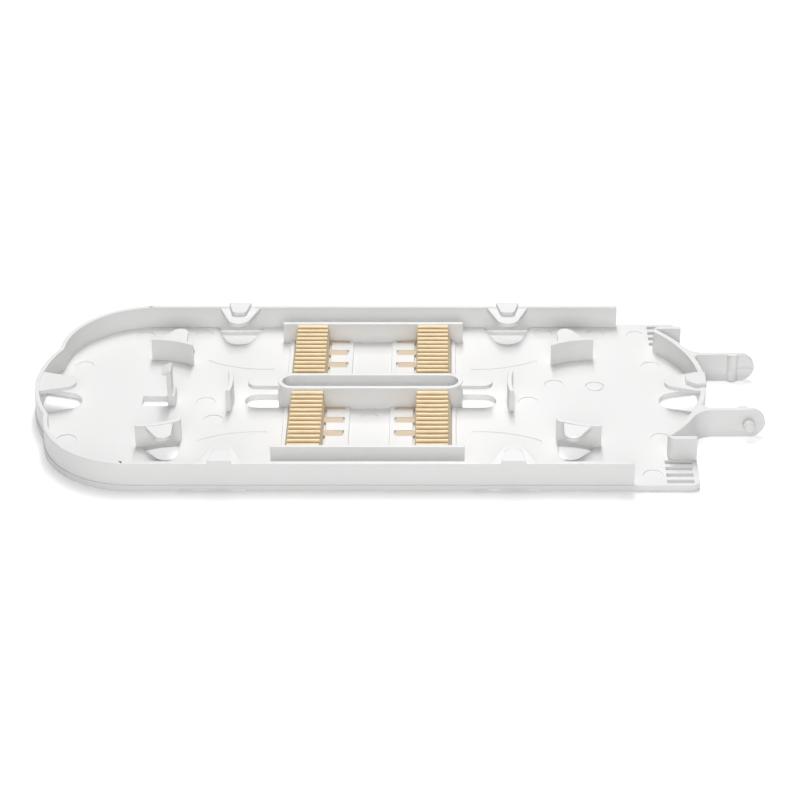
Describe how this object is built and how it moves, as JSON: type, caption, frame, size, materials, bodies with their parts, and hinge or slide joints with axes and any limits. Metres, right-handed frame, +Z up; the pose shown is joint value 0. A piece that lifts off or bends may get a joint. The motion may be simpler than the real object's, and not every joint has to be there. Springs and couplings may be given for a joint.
{
  "type": "fibre splice tray",
  "caption": "Shallow white fibre splice tray with curved guides, holding tabs, soft splice combs in its bays, a snap hook and pinned hinge arms at one end.",
  "frame": {"origin": "under the middle of the whole tray, in the plane it rests on", "axes": "+X along the tray towards the hinge arms, +Y towards the back wall, +Z up out of the open face"},
  "size_m": [0.2444, 0.1076, 0.0156],
  "materials": {
    "tray_plastic": "satin moulded ABS",
    "comb_rubber": "matte elastomer"
  },
  "bodies": {
    "root": {"tray": "tray_plastic", "splice_comb_back_left": "comb_rubber", "splice_comb_back_right": "comb_rubber", "splice_comb_front_left": "comb_rubber", "splice_comb_front_right": "comb_rubber"}
  },
  "joints": []
}
